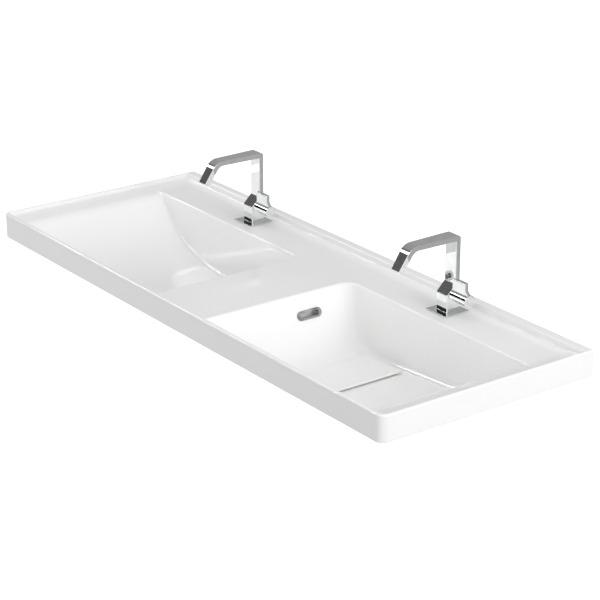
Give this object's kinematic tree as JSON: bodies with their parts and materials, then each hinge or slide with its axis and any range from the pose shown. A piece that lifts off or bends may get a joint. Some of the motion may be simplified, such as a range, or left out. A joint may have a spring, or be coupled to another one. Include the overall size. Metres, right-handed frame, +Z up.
{
  "type": "double washbasin",
  "caption": "Wall-hung double washbasin: one shallow glazed tray with two sloping bowls, a lift-out cover over each drain and a flat-armed side-lever tap at each bowl.",
  "frame": {"origin": "middle of the back face that stands against the wall, at the height of the wall bolts", "axes": "+X along the width, to the right for someone facing the basin; +Y into the wall; +Z up"},
  "size_m": [1.2, 0.452, 0.3305],
  "materials": {
    "glaze": "gloss",
    "chrome": "polished",
    "rubber": "matte",
    "nut_plastic": "matte",
    "brass": "machined",
    "steel": "zinc plated"
  },
  "bodies": {
    "basin": {"basin_body": "glaze", "strainer_left": "chrome", "waste_body_left": "chrome", "waste_seal_left": "rubber", "waste_gasket_left": "rubber", "waste_nut_left": "nut_plastic", "overflow_ring_left": "chrome", "tap_plate_left": "chrome", "tap_seal_left": "rubber", "tap_body_left": "chrome", "spout_left": "chrome", "aerator_left": "nut_plastic", "cartridge_left": "brass", "cartridge_nut_left": "brass", "mounting_stud_left": "steel", "rubber_washer_left": "rubber", "steel_washer_left": "steel", "stud_nut_left": "steel", "strainer_right": "chrome", "waste_body_right": "chrome", "waste_seal_right": "rubber", "waste_gasket_right": "rubber", "waste_nut_right": "nut_plastic", "overflow_ring_right": "chrome", "tap_plate_right": "chrome", "tap_seal_right": "rubber", "tap_body_right": "chrome", "spout_right": "chrome", "aerator_right": "nut_plastic", "cartridge_right": "brass", "cartridge_nut_right": "brass", "mounting_stud_right": "steel", "rubber_washer_right": "rubber", "steel_washer_right": "steel", "stud_nut_right": "steel"},
    "cover_left": {"drain_cover_left": "glaze", "cover_pads_left": "rubber"},
    "tap_handle_left": {"handle_left": "chrome", "handle_screw_left": "steel", "handle_plug_left": "chrome", "spindle_left": "brass"},
    "cover_right": {"drain_cover_right": "glaze", "cover_pads_right": "rubber"},
    "tap_handle_right": {"handle_right": "chrome", "handle_screw_right": "steel", "handle_plug_right": "chrome", "spindle_right": "brass"}
  },
  "joints": [
    {"name": "tap_handle_left_turn", "type": "hinge", "parent": "basin", "child": "tap_handle_left", "pos_m": [-0.2796, -0.0625, 0.057], "axis": [1, 0, 0], "range_deg": [0, 90]},
    {"name": "cover_left_lift", "type": "slide", "parent": "basin", "child": "cover_left", "axis": [0, 0, 1], "range_m": [0, 0.16]},
    {"name": "tap_handle_right_turn", "type": "hinge", "parent": "basin", "child": "tap_handle_right", "pos_m": [0.3104, -0.0625, 0.057], "axis": [1, 0, 0], "range_deg": [0, 90]},
    {"name": "cover_right_lift", "type": "slide", "parent": "basin", "child": "cover_right", "axis": [0, 0, 1], "range_m": [0, 0.16]}
  ]
}
